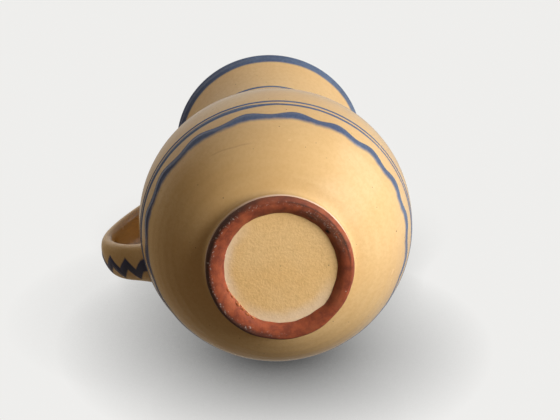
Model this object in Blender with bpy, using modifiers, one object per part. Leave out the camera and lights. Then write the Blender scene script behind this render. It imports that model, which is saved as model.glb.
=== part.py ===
"""Glazed earthenware jug with a turned foot ring, a tall flared neck and one strap handle.

Units are metres and +Z is up. The jug stands on its foot ring at z = 0, and the handle points along -X.
The pieces are the ones a potter makes: turned sections, a pulled strap and trails of blue slip.
"""
import math

import bpy

# Fits: the gap between pieces that touch, and the number of sides of every turned piece
CLEARANCE = 0.0003
SIDES = 56

# Belly: an egg that tucks in above the foot ring
BELLY_RADIUS = 0.0650
BELLY_LEVEL = 0.0656
BELLY_DOWN = 0.0774
BELLY_UP = 0.0565
BELLY_WALL = 0.0050
SHOULDER_ANGLE = math.radians(50)

# Foot ring and the floor sunk inside it
FOOT_RADIUS = 0.0344
FOOT_HEIGHT = 0.0087
FOOT_WIDTH = 0.0077
FOOT_LAND = 0.0026
FOOT_ROUND = 0.0036
FLOOR_RECESS = 0.0030
FLOOR_THICKNESS = 0.0072

# Neck and rim
NECK_RADIUS = 0.0358
NECK_WALL = 0.0045
NECK_FOOT_LEVEL = 0.1293
NECK_STRAIGHT = 0.0240
NECK_FLARE_IN = 0.0080
NECK_FLARE_DOWN = 0.0180
RIM_RADIUS = 0.0486
RIM_LEVEL = 0.1923
RIM_HEIGHT = 0.0078

# Handle strap: where its middle line leaves the neck, stands out farthest and meets the belly
STRAP_WIDTH = 0.0186
STRAP_THICKNESS = 0.0090
STRAP_EDGE = 0.0038
STRAP_BURY = 0.0025
STRAP_BELOW_LINE = 0.0132
STRAP_TOP_OUT = 0.0133
STRAP_TOP_DOWN = 0.0043
STRAP_TIP_LEVEL = 0.0912
STRAP_TIP_REACH = 0.0827
STRAP_TIP_ABOVE = 0.0190
STRAP_TIP_BELOW = 0.0086
STRAP_FOOT_LEVEL = 0.0612
STRAP_FOOT_OUT = 0.0154
STRAP_FOOT_UP = 0.0113

# Blue slip: trailed lines that stand a little proud of the clay
SLIP = 0.0005
RIM_BAND_LEVEL = 0.1848
RIM_BAND_WIDTH = 0.0056
NECK_LINE_LEVEL = 0.1622
NECK_LINE_WIDTH = 0.0014
UPPER_LINE_LEVEL = 0.0545
UPPER_LINE_WIDTH = 0.0014
LOWER_LINE_LEVEL = 0.0507
LOWER_LINE_WIDTH = 0.0024
WAVE_LEVEL = 0.0405
WAVE_HEIGHT = 0.0028
WAVE_WIDTH = 0.0046
WAVE_COUNT = 18
WAVE_START = math.radians(11)
WAVE_STEPS = 8
ZIGZAG_PITCH = 0.0112
ZIGZAG_HEIGHT = 0.0058
ZIGZAG_WIDTH = 0.0046
ZIGZAG_SIDE = 0.0014

# Places that follow from the sizes above
STRAP_TOP_LEVEL = NECK_LINE_LEVEL - STRAP_BELOW_LINE
FOOT_BORE = FOOT_RADIUS - FOOT_WIDTH
FLOOR_TOP = FLOOR_RECESS + FLOOR_THICKNESS
RIM_FOOT_LEVEL = RIM_LEVEL - RIM_HEIGHT
BELLY_DROP = BELLY_LEVEL - FOOT_HEIGHT
BELLY_TUCK = 1 - (BELLY_DROP / BELLY_DOWN) ** 2 - (FOOT_RADIUS / BELLY_RADIUS) ** 2


def between(a, b, count):
    """Evenly spaced values from a to b, both included."""
    return [a + (b - a) * i / (count - 1) for i in range(count)]


def bezier(p0, p1, p2, p3, count):
    """Points of a cubic Bezier curve."""
    points = []
    for t in between(0.0, 1.0, count):
        s = 1 - t
        weights = (s ** 3, 3 * s * s * t, 3 * s * t * t, t ** 3)
        points.append(tuple(sum(w * p[k] for w, p in zip(weights, (p0, p1, p2, p3))) for k in range(2)))
    return points


def at_level(points, level):
    """Radius of a rising (radius, level) outline at one level."""
    for (r0, z0), (r1, z1) in zip(points, points[1:]):
        if z0 <= level <= z1:
            return r0 + (r1 - r0) * (level - z0) / (z1 - z0)
    return points[-1][0]


def belly_below(count):
    """Rising outline of the lower belly: an ellipse at its widest, tucking in to meet the foot ring."""
    points = []
    for t in between(math.pi / 2, 0.0, count):
        drop = BELLY_DROP * math.sin(t)
        square = 1 - (drop / BELLY_DOWN) ** 2 - BELLY_TUCK * (drop / BELLY_DROP) ** 4
        points.append((BELLY_RADIUS * math.sqrt(square), BELLY_LEVEL - drop))
    return points


def belly_above(radius, up, count):
    """Rising outline of the upper belly from its widest level to the shoulder angle."""
    turns = between(0.0, SHOULDER_ANGLE, count)
    return [(radius * math.cos(t), BELLY_LEVEL + up * math.sin(t)) for t in turns]


def shoulder_fillet(start, radius, up, neck_radius, count):
    """Hollow curve from the shoulder to the upright foot of the neck."""
    tangent = (-radius * math.sin(SHOULDER_ANGLE), up * math.cos(SHOULDER_ANGLE))
    length = math.hypot(*tangent)
    run = 0.55 * (start[0] - neck_radius) * length / -tangent[0]
    lead = (start[0] + tangent[0] / length * run, start[1] + tangent[1] / length * run)
    rise = 0.45 * (NECK_FOOT_LEVEL - start[1])
    return bezier(start, lead, (neck_radius, NECK_FOOT_LEVEL - rise), (neck_radius, NECK_FOOT_LEVEL), count)


def outer_body():
    """Rising outline of the clay's outside from the top of the foot ring to the foot of the neck."""
    arc = belly_below(11) + belly_above(BELLY_RADIUS, BELLY_UP, 7)[1:]
    return arc + shoulder_fillet(arc[-1], BELLY_RADIUS, BELLY_UP, NECK_RADIUS, 6)[1:]


def inner_body():
    """Rising outline of the belly's inside from the floor to the foot of the neck."""
    radius = BELLY_RADIUS - BELLY_WALL
    low = math.acos(FOOT_BORE / radius)
    down = (BELLY_LEVEL - FLOOR_TOP) / math.sin(low)
    up = BELLY_UP - BELLY_WALL
    lower = [(radius * math.cos(t), BELLY_LEVEL - down * math.sin(t)) for t in between(low, 0.0, 9)]
    arc = lower + belly_above(radius, up, 6)[1:]
    return arc + shoulder_fillet(arc[-1], radius, up, NECK_RADIUS - NECK_WALL, 5)[1:]


def outer_neck(count=11):
    """Rising outline of the neck's outside from its foot to the top of the rim."""
    return bezier((NECK_RADIUS, NECK_FOOT_LEVEL), (NECK_RADIUS, NECK_FOOT_LEVEL + NECK_STRAIGHT),
                  (RIM_RADIUS - NECK_FLARE_IN, RIM_LEVEL - NECK_FLARE_DOWN), (RIM_RADIUS, RIM_LEVEL), count)


def outer_outline():
    """Whole outside from the foot ring to the rim, as one rising outline."""
    return outer_body() + outer_neck(25)[1:]


def handle_path():
    """Middle line of the strap as (distance from the jug's axis, level), four points to a zigzag."""
    outline = outer_outline()
    top = at_level(outline, STRAP_TOP_LEVEL) - STRAP_BURY
    foot = at_level(outline, STRAP_FOOT_LEVEL) - STRAP_BURY
    tip = (STRAP_TIP_REACH, STRAP_TIP_LEVEL)
    upper = bezier((top, STRAP_TOP_LEVEL), (top + STRAP_TOP_OUT, STRAP_TOP_LEVEL - STRAP_TOP_DOWN),
                   (STRAP_TIP_REACH, STRAP_TIP_LEVEL + STRAP_TIP_ABOVE), tip, 80)
    lower = bezier(tip, (STRAP_TIP_REACH, STRAP_TIP_LEVEL - STRAP_TIP_BELOW),
                   (foot + STRAP_FOOT_OUT, STRAP_FOOT_LEVEL + STRAP_FOOT_UP), (foot, STRAP_FOOT_LEVEL), 60)
    fine = upper + lower[1:]
    travel = [0.0]
    for a, b in zip(fine, fine[1:]):
        travel.append(travel[-1] + math.dist(a, b))
    count = round(travel[-1] / (ZIGZAG_PITCH / 4))
    path = []
    index = 0
    for distance in between(0.0, travel[-1], count + 1):
        while index < len(travel) - 2 and travel[index + 1] < distance:
            index += 1
        share = (distance - travel[index]) / (travel[index + 1] - travel[index])
        a, b = fine[index], fine[index + 1]
        path.append((a[0] + (b[0] - a[0]) * share, a[1] + (b[1] - a[1]) * share))
    return path


def offset_path(path, distance):
    """The path moved sideways, away from the jug where the distance is positive."""
    moved = []
    for i, (r, z) in enumerate(path):
        a = path[max(i - 1, 0)]
        b = path[min(i + 1, len(path) - 1)]
        run, rise = b[0] - a[0], b[1] - a[1]
        length = math.hypot(run, rise)
        moved.append((r - rise / length * distance, z + run / length * distance))
    return moved


HANDLE_PATH = handle_path()
HANDLE_REACH = max(r for r, z in offset_path(HANDLE_PATH, STRAP_THICKNESS / 2 + CLEARANCE + SLIP))
# The jug's own axis stands off centre, so that the part's box is centred over the origin
AXIS_X = (HANDLE_REACH - BELLY_RADIUS) / 2


def clear_scene():
    for obj in list(bpy.data.objects):
        bpy.data.objects.remove(obj, do_unlink=True)


def collection(name):
    group = bpy.data.collections.new(name)
    bpy.context.scene.collection.children.link(group)
    return group


def material(name, colour, roughness):
    mat = bpy.data.materials.new(name)
    mat.use_nodes = True
    shader = mat.node_tree.nodes["Principled BSDF"]
    shader.inputs["Base Color"].default_value = (*colour, 1.0)
    shader.inputs["Roughness"].default_value = roughness
    shader.inputs["Metallic"].default_value = 0.0
    mat.diffuse_color = (*colour, 1.0)
    return mat


def add_object(name, mesh, group, mat):
    obj = bpy.data.objects.new(name, mesh)
    group.objects.link(obj)
    mesh.materials.append(mat)
    obj.location = (AXIS_X, 0.0, 0.0)
    return obj


def turned(name, profile, group, mat, closed=True):
    """A profile at +X, running down its outer side, turned about the jug's axis."""
    edges = [(i, i + 1) for i in range(len(profile) - 1)]
    if closed:
        edges.append((len(profile) - 1, 0))
    mesh = bpy.data.meshes.new(name)
    mesh.from_pydata([(r, 0.0, z) for r, z in profile], edges, [])
    obj = add_object(name, mesh, group, mat)
    screw = obj.modifiers.new("Turn", "SCREW")
    screw.axis = "Z"
    screw.angle = math.tau
    screw.steps = SIDES
    screw.render_steps = SIDES
    screw.use_merge_vertices = True
    screw.merge_threshold = 0.00001
    screw.use_smooth_shade = True
    return obj


def strip(name, edge_a, edge_b, thickness, offset, closed, group, mat):
    """A ribbon between two edges of equally many points, made solid."""
    count = len(edge_a)
    spans = count if closed else count - 1
    faces = [(i, (i + 1) % count, count + (i + 1) % count, count + i) for i in range(spans)]
    mesh = bpy.data.meshes.new(name)
    mesh.from_pydata(edge_a + edge_b, [], faces)
    obj = add_object(name, mesh, group, mat)
    solid = obj.modifiers.new("Thickness", "SOLIDIFY")
    solid.thickness = thickness
    solid.offset = offset
    solid.use_even_offset = True
    return obj


def slip_ring(name, outline, level, width, group, mat, rows=2):
    """A line of slip trailed round the jug, just clear of the clay under it."""
    levels = between(level + width / 2, level - width / 2, rows)
    outside = [(at_level(outline, z) + CLEARANCE + SLIP, z) for z in levels]
    inside = [(at_level(outline, z) + CLEARANCE, z) for z in reversed(levels)]
    return turned(name, outside + inside, group, mat)


def foot_ring(group, mat):
    """The turned ring with a narrow flat land and rounded shoulders."""
    bore, rim = FOOT_BORE, FOOT_RADIUS
    land_in = (bore + rim - FOOT_LAND) / 2
    land_out = land_in + FOOT_LAND
    top = FOOT_HEIGHT - CLEARANCE
    turns = between(0.0, math.pi / 2, 4)
    outside = [(land_out + (rim - land_out) * math.cos(t), FOOT_ROUND * (1 - math.sin(t))) for t in turns]
    inside = [(land_in - (land_in - bore) * math.sin(t), FOOT_ROUND * (1 - math.cos(t))) for t in turns]
    turned("foot_ring", [(rim, top)] + outside + inside + [(bore, top)], group, mat)


def base_disc(group, mat):
    """The floor, sunk inside the foot ring so that only the ring touches the table."""
    bpy.ops.mesh.primitive_cylinder_add(vertices=SIDES, radius=FOOT_BORE - CLEARANCE, depth=FLOOR_THICKNESS,
                                        location=(AXIS_X, 0.0, FLOOR_RECESS + FLOOR_THICKNESS / 2))
    obj = bpy.context.object
    obj.name = "base_disc"
    obj.data.name = "base_disc"
    for owner in list(obj.users_collection):
        owner.objects.unlink(obj)
    group.objects.link(obj)
    obj.data.materials.append(mat)


def belly_wall(group, mat):
    """The hollow belly from the foot ring to the foot of the neck."""
    inside = inner_body()
    inside.insert(0, (FOOT_BORE, FOOT_HEIGHT))
    turned("belly_wall", outer_body()[::-1] + inside, group, mat)


def neck_collar(group, mat):
    """The flared tube between the belly and the rim."""
    low = NECK_FOOT_LEVEL + CLEARANCE
    high = RIM_FOOT_LEVEL - CLEARANCE
    outline = outer_neck(41)
    levels = between(high, low, 10)
    outside = [(at_level(outline, z), z) for z in levels]
    inside = [(at_level(outline, z) - NECK_WALL, z) for z in reversed(levels)]
    turned("neck_collar", outside + inside, group, mat)


def rim_roll(group, mat):
    """The rounded lip at the top of the neck."""
    outline = outer_neck(41)
    half = NECK_WALL / 2
    crown = RIM_LEVEL - half
    middle = at_level(outline, crown) - half
    lip = [(middle + half * math.cos(t), crown + half * math.sin(t)) for t in between(math.pi, 0.0, 7)]
    outside = [(at_level(outline, z), z) for z in between(crown, RIM_FOOT_LEVEL, 4)]
    inside = [(r - NECK_WALL, z) for r, z in reversed(outside)]
    turned("rim_roll", lip + outside[1:] + inside[:-1], group, mat)


def body_clearance(group, mat):
    """Cutter for the handle's ends: the jug's outside, solid and a clearance larger."""
    outline = outer_outline()
    profile = [(0.0, RIM_LEVEL)] + [(r + CLEARANCE, z) for r, z in reversed(outline)] + [(0.0, FOOT_HEIGHT)]
    obj = turned("body_clearance", profile, group, mat, closed=False)
    obj.hide_render = True
    obj.display_type = "WIRE"
    return obj


def handle_strap(group, mat, cutter):
    """The pulled strap, rounded along its edges and fitted to the neck and the belly."""
    half = STRAP_THICKNESS / 2
    outer = [(-r, 0.0, z) for r, z in offset_path(HANDLE_PATH, half)]
    inner = [(-r, 0.0, z) for r, z in offset_path(HANDLE_PATH, -half)]
    obj = strip("handle_strap", outer, inner, STRAP_WIDTH, 0.0, False, group, mat)
    bevel = obj.modifiers.new("Edges", "BEVEL")
    bevel.width = STRAP_EDGE
    bevel.segments = 2
    bevel.limit_method = "ANGLE"
    bevel.angle_limit = math.radians(60)
    fit = obj.modifiers.new("Fit", "BOOLEAN")
    fit.operation = "DIFFERENCE"
    fit.object = cutter


def handle_zigzag(group, mat):
    """A zigzag of slip down the back of the strap, on the strap's own bends."""
    surface = offset_path(HANDLE_PATH, STRAP_THICKNESS / 2 + CLEARANCE)
    first, last = 5, len(surface) - 3
    left, right = [], []
    for i in range(first, last):
        r, z = surface[i]
        middle = ZIGZAG_SIDE + ZIGZAG_HEIGHT / 2 * (0, -1, 0, 1)[i % 4]
        left.append((-r, middle - ZIGZAG_WIDTH / 2, z))
        right.append((-r, middle + ZIGZAG_WIDTH / 2, z))
    strip("handle_zigzag", right, left, SLIP, 1.0, False, group, mat)


def wave_line(group, mat):
    """The wavy line trailed round the belly under the two straight ones."""
    outline = outer_body()
    count = WAVE_COUNT * WAVE_STEPS
    high, low = [], []
    for i in range(count):
        angle = math.tau * i / count
        middle = WAVE_LEVEL + WAVE_HEIGHT / 2 * math.cos(WAVE_COUNT * (angle - WAVE_START))
        for side, edge in ((1, high), (-1, low)):
            z = middle + side * WAVE_WIDTH / 2
            r = at_level(outline, z) + CLEARANCE
            edge.append((r * math.cos(angle), r * math.sin(angle), z))
    strip("wave_line", low, high, SLIP, 1.0, True, group, mat)


def build():
    clear_scene()
    jug = collection("ceramic_jug")
    cutters = collection("cutters")
    honey = material("honey_glaze", (0.62, 0.42, 0.17), 0.18)
    floor = material("floor_glaze", (0.60, 0.42, 0.18), 0.30)
    terracotta = material("terracotta", (0.37, 0.10, 0.045), 0.65)
    blue = material("blue_slip", (0.075, 0.105, 0.19), 0.25)

    foot_ring(jug, terracotta)
    base_disc(jug, floor)
    belly_wall(jug, honey)
    neck_collar(jug, honey)
    rim_roll(jug, honey)
    handle_strap(jug, honey, body_clearance(cutters, honey))

    outline = outer_outline()
    slip_ring("rim_band", outline, RIM_BAND_LEVEL + RIM_BAND_WIDTH / 2, RIM_BAND_WIDTH, jug, blue, 3)
    slip_ring("neck_line", outline, NECK_LINE_LEVEL, NECK_LINE_WIDTH, jug, blue)
    slip_ring("belly_line_upper", outline, UPPER_LINE_LEVEL, UPPER_LINE_WIDTH, jug, blue)
    slip_ring("belly_line_lower", outline, LOWER_LINE_LEVEL, LOWER_LINE_WIDTH, jug, blue)
    wave_line(jug, blue)
    handle_zigzag(jug, blue)


build()
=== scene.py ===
import math

import bmesh
import bpy
from mathutils import Matrix, Vector


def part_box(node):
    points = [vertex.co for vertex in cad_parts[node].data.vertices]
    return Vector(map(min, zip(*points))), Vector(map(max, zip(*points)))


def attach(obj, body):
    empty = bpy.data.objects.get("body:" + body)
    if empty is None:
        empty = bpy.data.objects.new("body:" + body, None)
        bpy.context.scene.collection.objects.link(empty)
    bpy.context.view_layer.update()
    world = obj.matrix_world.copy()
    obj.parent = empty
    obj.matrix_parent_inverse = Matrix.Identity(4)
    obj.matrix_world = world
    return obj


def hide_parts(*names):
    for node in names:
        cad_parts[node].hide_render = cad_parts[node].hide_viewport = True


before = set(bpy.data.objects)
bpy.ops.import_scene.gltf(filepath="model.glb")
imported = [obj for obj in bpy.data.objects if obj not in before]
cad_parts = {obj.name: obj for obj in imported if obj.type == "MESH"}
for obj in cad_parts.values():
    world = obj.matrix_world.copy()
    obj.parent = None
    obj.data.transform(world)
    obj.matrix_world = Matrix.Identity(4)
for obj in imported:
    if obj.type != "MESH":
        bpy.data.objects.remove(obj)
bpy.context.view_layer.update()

# Sizes taken from the frame
BELLY_LOW, BELLY_HIGH = (Vector(c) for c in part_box("belly_wall"))
RING_LOW, RING_HIGH = (Vector(c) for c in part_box("foot_ring"))
FLOOR_LOW, FLOOR_HIGH = (Vector(c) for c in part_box("base_disc"))
RIM_LOW, RIM_HIGH = (Vector(c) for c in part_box("rim_roll"))
BAND_LOW, BAND_HIGH = (Vector(c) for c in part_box("rim_band"))
STRAP_LOW, STRAP_HIGH = (Vector(c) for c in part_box("handle_strap"))
AXIS_X = (BELLY_LOW.x + BELLY_HIGH.x) / 2
BELLY_RADIUS = (BELLY_HIGH.x - BELLY_LOW.x) / 2
FOOT_RADIUS = (RING_HIGH.x - RING_LOW.x) / 2
FOOT_HEIGHT = BELLY_LOW.z
FOOT_BORE = 0.0267
FLOOR_LEVEL = FLOOR_LOW.z
FLOOR_TOP = FLOOR_HIGH.z
NECK_FOOT_LEVEL = BELLY_HIGH.z
RIM_FOOT_LEVEL = RIM_LOW.z
RIM_LEVEL = RIM_HIGH.z
STRAP_WIDTH = STRAP_HIGH.y - STRAP_LOW.y


def middle_level(node):
    low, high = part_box(node)
    return (low[2] + high[2]) / 2


# Body outline, as in the solids
BELLY_LEVEL = 0.0656
BELLY_DOWN = 0.0774
BELLY_UP = 0.0565
BELLY_WALL = 0.0050
SHOULDER_ANGLE = math.radians(50)
NECK_RADIUS = 0.0358
NECK_WALL = 0.0045
NECK_STRAIGHT = 0.0240
NECK_FLARE_IN = 0.0080
NECK_FLARE_DOWN = 0.0180
RIM_RADIUS = 0.0486
BELLY_DROP = BELLY_LEVEL - FOOT_HEIGHT
BELLY_TUCK = 1 - (BELLY_DROP / BELLY_DOWN) ** 2 - (FOOT_RADIUS / BELLY_RADIUS) ** 2

# Strap outline, as in the solids
STRAP_THICKNESS = 0.0090
STRAP_BURY = 0.0025
STRAP_ROUND = 2.1
STRAP_FLARE_RUN = 0.013
STRAP_FLARE_WIDE = 0.10
STRAP_FLARE_THICK = 0.35
STRAP_DIP = 0.0008
STRAP_DIP_STEP = 0.0002
STRAP_DIP_BACK, STRAP_DIP_ON = 40, 60
STRAP_TOP_LEVEL = 0.1490
STRAP_TOP_OUT = 0.0133
STRAP_TOP_DOWN = 0.0043
STRAP_TIP_LEVEL = 0.0912
STRAP_TIP_REACH = 0.0827
STRAP_TIP_ABOVE = 0.0190
STRAP_TIP_BELOW = 0.0086
STRAP_FOOT_LEVEL = 0.0612
STRAP_FOOT_OUT = 0.0154
STRAP_FOOT_UP = 0.0113

# Slip decoration
SLIP = 0.00026
SLIP_SEAT = -0.00003
SLIP_ROOT = -0.00050
SLIP_EDGE = 0.0003
UPPER_LINE_DROP = 0.0004
UPPER_LINE_LEVEL = middle_level("belly_line_upper") - UPPER_LINE_DROP
LOWER_LINE_LEVEL = middle_level("belly_line_lower")
NECK_LINE_LEVEL = middle_level("neck_line")
WAVE_LEVEL = middle_level("wave_line")
RIM_BAND_LEVEL = BAND_LOW.z
RIM_TRAIL_RISE = 0.0021
RIM_TRAIL_WIDTH = 0.0040
THIN_LINE = 0.0017
THICK_LINE = 0.0036
WAVE_COUNT = 18
WAVE_HEIGHT = 0.0026
WAVE_BASE = 0.2
WAVE_BASE_RISE = 0.5
WAVE_WIDTH = 0.0046
WAVE_SWELL = 0.0012
WAVE_START = math.radians(11.1)
WAVE_DRIFT = math.radians(4.2)
WAVE_DRIFT_START = math.radians(116)
WAVE_LEAN = 0.0006
WAVE_LEAN_START = math.radians(-130)
BLEED = 0.0014
BAND_LEAN = 0.0011
ZIGZAG_PITCH = 0.0112
ZIGZAG_HEIGHT = 0.0058
ZIGZAG_WIDTH = 0.0062
ZIGZAG_SIDE = 0.0014
ZIGZAG_START = 0.0084
ZIGZAG_STATIONS = 400
ZIGZAG_TRIM = 24

# Raised skins of slip, as shares of the painted widths
THIN_SPREAD = 1.3
LOWER_SPREAD = 1.5
WAVE_SPREAD = 1.1
ZIGZAG_SPREAD = 1.2

# Traces of the wheel and of the hand
WHEEL_PITCH = 0.0046
RIDGE = 0.00001
RIDGE_LOW = 0.00004
RIDGE_TOP = 0.05
SWAY_OVAL = 0.00016
SWAY_THIRD = 0.00008

# Where the glaze ends above the foot, as steps (outwards, upwards) from its end on the ring's wall
GLAZE_END = 0.0046
SKIRT_INSET = 0.0002
SKIRT_HEIGHT = 0.0036
SKIRT_EDGE = ((-0.0010, 0.0005), (-0.0005, 0.0001), (-0.0001, 0.0003))
SKIRT_FOOT = 0.0008
SKIRT_CORNER = (0.0004, 0.0006)

# Foot ring and sunk floor; degrees are the photograph's, anticlockwise from its right
RING_RIGHT, RING_DOWN = 0.0005, 0.0007
RING_OVAL = 0.010
LAND_IN, LAND_OUT = 0.0317, 0.0323
RING_ROUND = 0.0030
RING_INSET = 0.0001
RING_ROOT = ((-0.0013, 0.0012), (-0.0003, -0.0002))
WEAR_WIDE = 0.00014
WEAR_FINE = 0.00010
WEAR_ALL = 0.00010
CHIP_DEPTH, CHIP_DEGREES, CHIP_SPREAD = 0.0004, 318, 16
GLAZE_STOP = 0.0029
GLAZE_LAP_OUT, GLAZE_LAP_UP = 0.0002, 0.0012
GLAZE_RADIUS = 0.0264
SLOPE_POWER = 2.5
RAGGED_WIDE = 0.00010
RAGGED_FINE = 0.00007
FLATS = ((180, 40, 0.0008), (221, 18, 0.0010), (322, 9, -0.0005))
FLOOR_FLAT = 0.88
FLOOR_DOME = 0.0004
PIN_HOLE = 0.00002
DROPS = ((203, 0.0007), (212, 0.0006), (222, 0.0010), (229, 0.0008), (236, 0.0009), (243, 0.0006))

# Marks in the glaze and on the ring
HAIR_START, HAIR_END = math.radians(-108), math.radians(-84)
HAIR_RISE = -0.0054
HAIR_LEVEL = 0.0266 - HAIR_RISE * math.radians(-97)
STAIN_START, STAIN_END = 68, 16
STAIN_INNER, STAIN_OUTER = 0.0297, 0.0318
SPOT_START, SPOT_END = 37, 42
SPOT_RADIUS = 0.0283
GROOVE_RADIUS = 0.0327
SCUFF_RADIUS = 0.0320
# Radii of the ring's outer edge, painted dark as soot and as shade.
SOOT_SHADE_INNER, SOOT_SHADE_OUTER = 0.0308, 0.0330
# Radii where the floor's edge turns paler, as thin glaze and painted highlight.
THIN_AND_HIGHLIT_IN, THIN_AND_HIGHLIT_OUT = 0.0195, 0.0255

# Photograph: its frame, its lens and how the jug lies in it
IMAGE_WIDTH, IMAGE_HEIGHT = 560, 420
FOCAL_PX = 3000
BELLY_PX = (275.5, 222.4)
CAMERA_DISTANCE = 1.434
TILT = math.radians(18.9)
DRIFT = math.radians(-1.7)
ROLL = math.radians(17.5)

RING_SHIFT = Vector((RING_RIGHT * math.cos(ROLL) - RING_DOWN * math.sin(ROLL),
                     RING_RIGHT * math.sin(ROLL) + RING_DOWN * math.cos(ROLL), 0.0))

SEGMENTS = 240


# Outlines

def between(a, b, count):
    return [a + (b - a) * i / (count - 1) for i in range(count)]


def bezier(p0, p1, p2, p3, count):
    points = []
    for t in between(0.0, 1.0, count):
        s = 1 - t
        pulls = list(zip((s ** 3, 3 * s * s * t, 3 * s * t * t, t ** 3), (p0, p1, p2, p3)))
        points.append(tuple(sum(w * p[k] for w, p in pulls) for k in range(2)))
    return points


def belly_below(count):
    points = []
    for t in between(math.pi / 2, 0.0, count):
        drop = BELLY_DROP * math.sin(t)
        square = 1 - (drop / BELLY_DOWN) ** 2 - BELLY_TUCK * (drop / BELLY_DROP) ** 4
        points.append((BELLY_RADIUS * math.sqrt(square), BELLY_LEVEL - drop))
    return points


def belly_above(radius, up, count):
    angles = between(0.0, SHOULDER_ANGLE, count)
    return [(radius * math.cos(t), BELLY_LEVEL + up * math.sin(t)) for t in angles]


def shoulder_fillet(start, radius, up, neck_radius, count):
    tangent = (-radius * math.sin(SHOULDER_ANGLE), up * math.cos(SHOULDER_ANGLE))
    length = math.hypot(*tangent)
    run = 0.55 * (start[0] - neck_radius) * length / -tangent[0]
    lead = (start[0] + tangent[0] / length * run, start[1] + tangent[1] / length * run)
    rise = 0.45 * (NECK_FOOT_LEVEL - start[1])
    below, top = (neck_radius, NECK_FOOT_LEVEL - rise), (neck_radius, NECK_FOOT_LEVEL)
    return bezier(start, lead, below, top, count)


def outer_belly():
    arc = belly_below(70) + belly_above(BELLY_RADIUS, BELLY_UP, 34)[1:]
    return arc + shoulder_fillet(arc[-1], BELLY_RADIUS, BELLY_UP, NECK_RADIUS, 64)[1:]


def inner_belly():
    radius = BELLY_RADIUS - BELLY_WALL
    low = math.acos(FOOT_BORE / radius)
    down = (BELLY_LEVEL - FLOOR_TOP) / math.sin(low)
    up = BELLY_UP - BELLY_WALL
    angles = between(low, 0.0, 30)
    lower = [(radius * math.cos(t), BELLY_LEVEL - down * math.sin(t)) for t in angles]
    arc = lower + belly_above(radius, up, 14)[1:]
    return arc + shoulder_fillet(arc[-1], radius, up, NECK_RADIUS - NECK_WALL, 12)[1:]


def outer_neck(count):
    straight = (NECK_RADIUS, NECK_FOOT_LEVEL + NECK_STRAIGHT)
    flare = (RIM_RADIUS - NECK_FLARE_IN, RIM_LEVEL - NECK_FLARE_DOWN)
    return bezier((NECK_RADIUS, NECK_FOOT_LEVEL), straight, flare, (RIM_RADIUS, RIM_LEVEL), count)


OUTLINE = outer_belly() + outer_neck(120)[1:]


def at_level(level):
    """Radius of the body's outside at a level."""
    for (r0, z0), (r1, z1) in zip(OUTLINE, OUTLINE[1:]):
        if z0 <= level <= z1:
            return r0 + (r1 - r0) * (level - z0) / (z1 - z0)
    return OUTLINE[0][0] if level < OUTLINE[0][1] else OUTLINE[-1][0]


def hand_thrown(radius, level, angle):
    """The small unevenness of a jug thrown by hand."""
    sway = SWAY_OVAL * math.sin(2 * angle + 0.7) + SWAY_THIRD * math.sin(3 * angle + 40 * level)
    low = max(0.0, 1 - level / RIDGE_TOP)
    turn = math.tau * level / WHEEL_PITCH + 0.5 * math.sin(angle)
    return radius * (1 + sway / BELLY_RADIUS) + (RIDGE + RIDGE_LOW * low) * math.sin(turn)


# Meshes

def around(radius, level, angle):
    return (AXIS_X + radius * math.cos(angle), radius * math.sin(angle), level)


def turns():
    return [math.tau * i / SEGMENTS for i in range(SEGMENTS)]


def link_mesh(name, mesh):
    mesh.shade_smooth()
    mesh.set_sharp_from_angle(angle=math.radians(60))
    obj = bpy.data.objects.new(name, mesh)
    bpy.context.scene.collection.objects.link(obj)
    return obj


def grid_object(name, rows, loop=False, attributes=None):
    """A closed mesh through closed rows of points: a loop of rows, or a tube with filled ends."""
    count = len(rows[0])
    points = [p for row in rows for p in row]
    faces = []
    for j in range(len(rows) if loop else len(rows) - 1):
        low, high = j * count, (j + 1) % len(rows) * count
        for i in range(count):
            k = (i + 1) % count
            faces.append((low + i, low + k, high + k, high + i))
    if not loop:
        faces += [tuple(range(count)), tuple(range(len(points) - count, len(points)))]
    mesh = bpy.data.meshes.new(name)
    mesh.from_pydata(points, [], faces)
    for key, values in (attributes or {}).items():
        layer = mesh.attributes.new(key, "FLOAT", "POINT")
        layer.data.foreach_set("value", values)
    outwards = bmesh.new()
    outwards.from_mesh(mesh)
    bmesh.ops.recalc_face_normals(outwards, faces=outwards.faces)
    outwards.to_mesh(mesh)
    outwards.free()
    return link_mesh(name, mesh)


def finish_piece(obj, mat, slot, *nodes):
    obj.data.materials.append(mat)
    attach(obj, "root")
    if nodes:
        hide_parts(*nodes)
    return obj


# Node trees

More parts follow.
